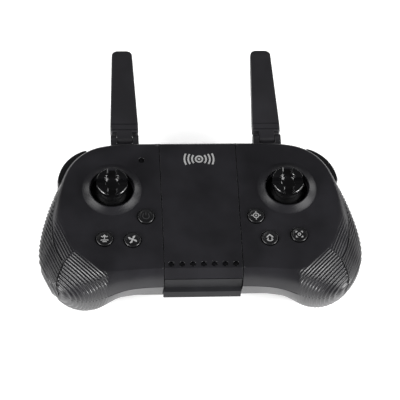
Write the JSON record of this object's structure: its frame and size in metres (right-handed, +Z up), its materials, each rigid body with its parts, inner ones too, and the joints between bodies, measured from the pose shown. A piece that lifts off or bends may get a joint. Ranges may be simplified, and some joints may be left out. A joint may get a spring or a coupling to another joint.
{
  "type": "radio transmitter controller",
  "caption": "Two-grip handheld radio controller with two thumb sticks, face buttons, shoulder buttons, fold-out antennas and a pull-out phone jaw.",
  "frame": {"origin": "on the plane that the controller rests on, under the middle of the body between the two sticks", "axes": "+Z up out of the face, +X to the holder's right, +Y from the holder towards the antennas"},
  "size_m": [0.186, 0.1666, 0.0491],
  "materials": {
    "housing_black": "satin moulded",
    "grip_black": "fine ridged, satin",
    "trigger_black": "satin moulded",
    "antenna_black": "matt moulded",
    "gloss_black": "gloss moulded",
    "button_black": "half gloss with printed icon",
    "inner_plastic": "plain moulded",
    "keypad_rubber": "matt silicone",
    "light_lens": "smoked clear",
    "screw_steel": "zinc plated",
    "rod_steel": "ground bright",
    "contact_metal": "plated",
    "cell_sleeve": "printed sleeve",
    "board_green": "solder mask",
    "chip_black": "moulded package",
    "sensor_blue": "moulded package",
    "lead_black": "coaxial sheath"
  },
  "bodies": {
    "root": {"top_housing": "housing_black", "bottom_housing": "housing_black", "center_cover": "housing_black", "left_side_grip": "grip_black", "right_side_grip": "grip_black", "battery_door": "housing_black", "door_screw": "screw_steel", "battery_cells": "cell_sleeve", "battery_contacts": "contact_metal", "main_board": "board_green", "board_chips": "chip_black", "buzzer": "chip_black", "indicator_lights": "light_lens", "status_light": "light_lens", "bumper_switches": "chip_black", "left_gimbal_base": "inner_plastic", "right_gimbal_base": "inner_plastic", "gimbal_sensors": "sensor_blue", "gimbal_screws": "screw_steel", "left_keypad": "keypad_rubber", "right_keypad": "keypad_rubber", "antenna_pins": "screw_steel", "left_antenna_bracket": "antenna_black", "right_antenna_bracket": "antenna_black", "antenna_leads": "lead_black", "rod_guide": "inner_plastic", "body_pad": "keypad_rubber", "housing_screws": "screw_steel", "board_screws": "screw_steel"},
    "left_gimbal": {"left_gimbal_ring": "inner_plastic"},
    "right_gimbal": {"right_gimbal_ring": "inner_plastic"},
    "left_control": {"left_stick": "gloss_black", "left_stick_dome": "gloss_black", "left_stick_cap": "gloss_black"},
    "right_control": {"right_stick": "gloss_black", "right_stick_dome": "gloss_black", "right_stick_cap": "gloss_black"},
    "power_key": {"power_button": "button_black"},
    "landing_key": {"landing_button": "button_black"},
    "speed_key": {"speed_button": "button_black"},
    "position_key": {"position_button": "button_black"},
    "return_key": {"return_button": "button_black"},
    "camera_key": {"camera_button": "button_black"},
    "left_shoulder": {"left_bumper": "trigger_black"},
    "right_shoulder": {"right_bumper": "trigger_black"},
    "left_aerial": {"left_antenna": "antenna_black", "left_antenna_core": "contact_metal"},
    "right_aerial": {"right_antenna": "antenna_black", "right_antenna_core": "contact_metal"},
    "jaw": {"phone_jaw": "housing_black", "jaw_pad": "keypad_rubber", "jaw_rods": "rod_steel", "rod_clips": "rod_steel"}
  },
  "joints": [
    {"name": "left_stick_forward", "type": "hinge", "parent": "root", "child": "left_gimbal", "pos_m": [-0.0506, 0.0116, 0.024], "axis": [1, 0, 0], "range_deg": [-12, 12], "stiffness_Nm_per_rad": 0.03},
    {"name": "left_stick_sideways", "type": "hinge", "parent": "left_gimbal", "child": "left_control", "pos_m": [-0.0506, 0.0116, 0.024], "axis": [0, 1, 0], "range_deg": [-12, 12], "stiffness_Nm_per_rad": 0.03},
    {"name": "right_stick_forward", "type": "hinge", "parent": "root", "child": "right_gimbal", "pos_m": [0.0506, 0.0116, 0.024], "axis": [1, 0, 0], "range_deg": [-12, 12], "stiffness_Nm_per_rad": 0.03},
    {"name": "right_stick_sideways", "type": "hinge", "parent": "right_gimbal", "child": "right_control", "pos_m": [0.0506, 0.0116, 0.024], "axis": [0, 1, 0], "range_deg": [-12, 12], "stiffness_Nm_per_rad": 0.03},
    {"name": "power_press", "type": "slide", "parent": "root", "child": "power_key", "axis": [0, 0, -1], "range_m": [0, 0.001], "stiffness_N_per_m": 400},
    {"name": "landing_press", "type": "slide", "parent": "root", "child": "landing_key", "axis": [0, 0, -1], "range_m": [0, 0.001], "stiffness_N_per_m": 400},
    {"name": "speed_press", "type": "slide", "parent": "root", "child": "speed_key", "axis": [0, 0, -1], "range_m": [0, 0.001], "stiffness_N_per_m": 400},
    {"name": "position_press", "type": "slide", "parent": "root", "child": "position_key", "axis": [0, 0, -1], "range_m": [0, 0.001], "stiffness_N_per_m": 400},
    {"name": "return_press", "type": "slide", "parent": "root", "child": "return_key", "axis": [0, 0, -1], "range_m": [0, 0.001], "stiffness_N_per_m": 400},
    {"name": "camera_press", "type": "slide", "parent": "root", "child": "camera_key", "axis": [0, 0, -1], "range_m": [0, 0.001], "stiffness_N_per_m": 400},
    {"name": "left_shoulder_press", "type": "slide", "parent": "root", "child": "left_shoulder", "axis": [0.8343, -0.5513, 0], "range_m": [0, 0.0012], "stiffness_N_per_m": 400},
    {"name": "right_shoulder_press", "type": "slide", "parent": "root", "child": "right_shoulder", "axis": [-0.8343, -0.5513, 0], "range_m": [0, 0.0012], "stiffness_N_per_m": 400},
    {"name": "left_antenna_fold", "type": "hinge", "parent": "root", "child": "left_aerial", "pos_m": [-0.042, 0.0499, 0.032], "axis": [1, 0, 0], "range_deg": [-20, 100]},
    {"name": "right_antenna_fold", "type": "hinge", "parent": "root", "child": "right_aerial", "pos_m": [0.042, 0.0499, 0.032], "axis": [1, 0, 0], "range_deg": [-20, 100]},
    {"name": "jaw_slide", "type": "slide", "parent": "root", "child": "jaw", "axis": [0, -1, 0], "range_m": [0, 0.066]}
  ]
}
